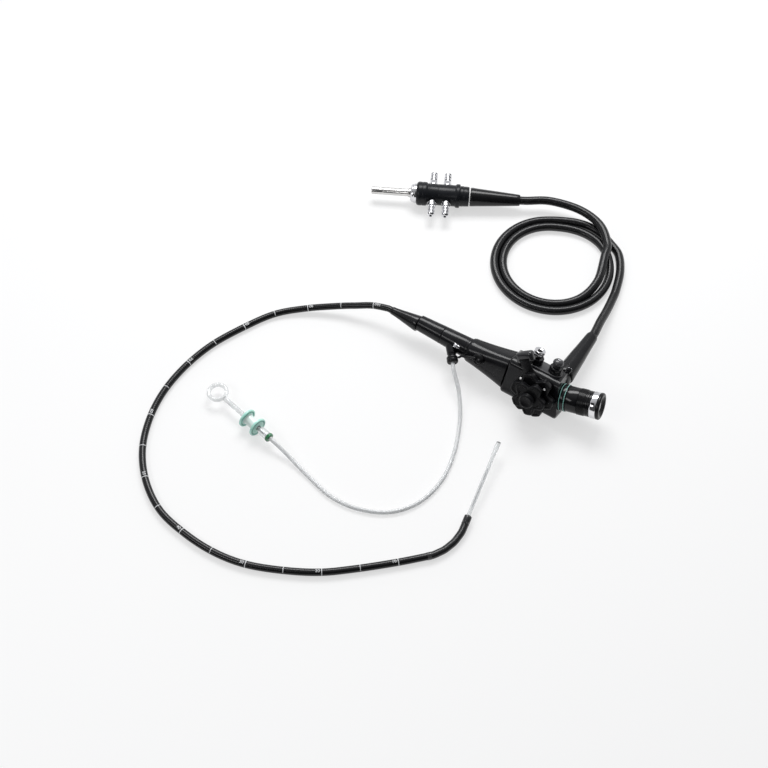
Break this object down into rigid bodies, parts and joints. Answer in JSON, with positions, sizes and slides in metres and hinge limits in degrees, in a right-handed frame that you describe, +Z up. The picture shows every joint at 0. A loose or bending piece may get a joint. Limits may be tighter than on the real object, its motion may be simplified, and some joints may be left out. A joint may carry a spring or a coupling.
{
  "type": "flexible endoscope",
  "caption": "Flexible endoscope with knobs, valves and eyepiece, an insertion tube with a hinged bending tip, a coiled umbilical with light guide plug, and a loaded catheter.",
  "frame": {"origin": "on the flat underside of the head housing, under the axis of the control knobs", "axes": "+X along the control body towards the eyepiece, +Y towards the umbilical, +Z up from the table"},
  "size_m": [0.5495, 0.7799, 0.088],
  "materials": {
    "black_plastic": "satin black moulded plastic",
    "black_rubber": "black moulded rubber",
    "black_sheathing": "smooth glossy black polymer sheathing",
    "chrome": "polished chrome",
    "steel": "bright stainless steel",
    "teal_plastic": "teal plastic",
    "white_plastic": "white plastic",
    "green_plastic": "green plastic",
    "clear_plastic": "clear, slightly milky plastic",
    "lens_glass": "dark coated glass"
  },
  "bodies": {
    "control_body": {"head_housing": "black_plastic", "grip": "black_plastic", "forceps_sleeve_rear": "black_plastic", "forceps_sleeve": "black_plastic", "suction_socket": "black_plastic", "air_water_socket": "black_plastic", "eyepiece_neck": "black_plastic", "eyepiece_barrel": "black_plastic", "light_guide_body": "black_plastic", "insertion_boot": "black_rubber", "biopsy_valve": "black_rubber", "biopsy_lid": "black_rubber", "eyecup": "black_rubber", "umbilical_boot": "black_rubber", "light_guide_boot": "black_rubber", "bending_cover": "black_rubber", "insertion_tube": "black_sheathing", "umbilical_lead_in": "black_sheathing", "umbilical_coil": "black_sheathing", "umbilical_lead_out": "black_sheathing", "vent_cap": "chrome", "eyepiece_collar": "chrome", "light_guide_collar": "chrome", "light_guide_prong": "chrome", "nozzle_1": "chrome", "nozzle_2": "chrome", "nozzle_3": "chrome", "nozzle_4": "chrome", "knob_shaft": "steel", "bend_ring_base": "steel", "teal_ring_rear": "teal_plastic", "teal_ring_front": "teal_plastic", "light_guide_seal": "white_plastic", "handle_collar": "green_plastic", "catheter_tube": "clear_plastic", "handle_barrel": "clear_plastic", "handle_rod": "clear_plastic", "eyepiece_lens": "lens_glass"},
    "ud_knob": {"ud_knob": "black_plastic"},
    "lr_knob": {"lr_knob": "black_plastic"},
    "ud_lock": {"ud_lock_lever": "black_plastic"},
    "lr_lock": {"lr_lock_knob": "black_plastic"},
    "suction_button": {"suction_button": "chrome"},
    "air_water_button": {"air_water_button": "chrome"},
    "diopter_ring": {"diopter_ring": "black_plastic"},
    "spool": {"spool": "teal_plastic"},
    "bend_link_1": {"bend_ring_1": "steel"},
    "bend_link_2": {"bend_ring_2": "steel"},
    "bend_link_3": {"bend_ring_3": "steel"},
    "bend_link_4": {"bend_ring_4": "steel"},
    "bend_link_5": {"bend_ring_5": "steel"},
    "bend_link_6": {"bend_ring_6": "steel"},
    "bend_link_7": {"bend_ring_7": "steel"},
    "tip": {"distal_tip": "black_plastic", "objective_lens": "lens_glass", "light_guide_lens_left": "lens_glass", "light_guide_lens_right": "lens_glass", "distal_sheath": "clear_plastic"},
    "wire": {"sheath_wire": "steel"}
  },
  "joints": [
    {"name": "ud_knob_turn", "type": "hinge", "parent": "control_body", "child": "ud_knob", "pos_m": [0, 0, 0.03], "axis": [0, -0.9063, 0.4226], "range_deg": [-84, 152]},
    {"name": "lr_knob_turn", "type": "hinge", "parent": "control_body", "child": "lr_knob", "pos_m": [0, 0, 0.03], "axis": [0, -0.9063, 0.4226], "range_deg": [-154, 46]},
    {"name": "ud_lock_swing", "type": "hinge", "parent": "control_body", "child": "ud_lock", "pos_m": [0, 0, 0.03], "axis": [0, -0.9063, 0.4226], "range_deg": [-35, 0]},
    {"name": "lr_lock_turn", "type": "hinge", "parent": "control_body", "child": "lr_lock", "pos_m": [0, 0, 0.03], "axis": [0, -0.9063, 0.4226], "range_deg": [0, 60]},
    {"name": "suction_press", "type": "slide", "parent": "control_body", "child": "suction_button", "axis": [0, -0.4226, -0.9063], "range_m": [0, 0.004], "stiffness_N_per_m": 350, "springref_m": -0.003},
    {"name": "air_water_press", "type": "slide", "parent": "control_body", "child": "air_water_button", "axis": [0, -0.4226, -0.9063], "range_m": [0, 0.004], "stiffness_N_per_m": 350, "springref_m": -0.003},
    {"name": "diopter_turn", "type": "hinge", "parent": "control_body", "child": "diopter_ring", "pos_m": [0.06306, 0.00476, 0.03592], "axis": [0.9695, 0.1536, 0.1908], "range_deg": [-60, 60]},
    {"name": "spool_slide", "type": "slide", "parent": "control_body", "child": "spool", "axis": [0.981, -0.1942, 0], "range_m": [-0.011, 0.002]},
    {"name": "sideways_hinge_1", "type": "hinge", "parent": "control_body", "child": "bend_link_1", "pos_m": [0.00435, -0.29154, 0.0054], "axis": [0, 0, 1], "range_deg": [-38.5, 11.5], "deforming": ["bending_cover"]},
    {"name": "upwards_hinge_1", "type": "hinge", "parent": "bend_link_1", "child": "bend_link_2", "pos_m": [0.00867, -0.28422, 0.0054], "axis": [0.8616, -0.5075, 0], "range_deg": [-21, 38]},
    {"name": "sideways_hinge_2", "type": "hinge", "parent": "bend_link_2", "child": "bend_link_3", "pos_m": [0.01298, -0.2769, 0.00562], "axis": [-0.0133, -0.0226, 0.9997], "range_deg": [-38.5, 11.5]},
    {"name": "upwards_hinge_2", "type": "hinge", "parent": "bend_link_3", "child": "bend_link_4", "pos_m": [0.01546, -0.26877, 0.00584], "axis": [0.9563, -0.2924, 0.0061], "range_deg": [-21, 38]},
    {"name": "sideways_hinge_3", "type": "hinge", "parent": "bend_link_4", "child": "bend_link_5", "pos_m": [0.01794, -0.26065, 0.00628], "axis": [-0.0209, -0.0476, 0.9986], "range_deg": [-38.5, 11.5]},
    {"name": "upwards_hinge_3", "type": "hinge", "parent": "bend_link_5", "child": "bend_link_6", "pos_m": [0.01846, -0.25218, 0.00669], "axis": [0.998, -0.0614, 0.018], "range_deg": [-21, 38]},
    {"name": "sideways_hinge_4", "type": "hinge", "parent": "bend_link_6", "child": "bend_link_7", "pos_m": [0.01897, -0.24372, 0.00733], "axis": [-0.0225, -0.0737, 0.997], "range_deg": [-38.5, 11.5]},
    {"name": "upwards_hinge_4", "type": "hinge", "parent": "bend_link_7", "child": "tip", "pos_m": [0.01748, -0.23537, 0.00791], "axis": [0.9844, 0.1727, 0.035], "range_deg": [-21, 38]},
    {"name": "wire_slide", "type": "slide", "parent": "tip", "child": "wire", "axis": [-0.1753, 0.98, 0.0947], "range_m": [-0.011, 0.002]}
  ],
  "couplings": [
    {"joint": "sideways_hinge_1", "follows": "lr_knob_turn", "ratio": 0.25},
    {"joint": "upwards_hinge_1", "follows": "ud_knob_turn", "ratio": 0.25},
    {"joint": "sideways_hinge_2", "follows": "lr_knob_turn", "ratio": 0.25},
    {"joint": "upwards_hinge_2", "follows": "ud_knob_turn", "ratio": 0.25},
    {"joint": "sideways_hinge_3", "follows": "lr_knob_turn", "ratio": 0.25},
    {"joint": "upwards_hinge_3", "follows": "ud_knob_turn", "ratio": 0.25},
    {"joint": "sideways_hinge_4", "follows": "lr_knob_turn", "ratio": 0.25},
    {"joint": "upwards_hinge_4", "follows": "ud_knob_turn", "ratio": 0.25},
    {"joint": "wire_slide", "follows": "spool_slide", "ratio": 1}
  ]
}
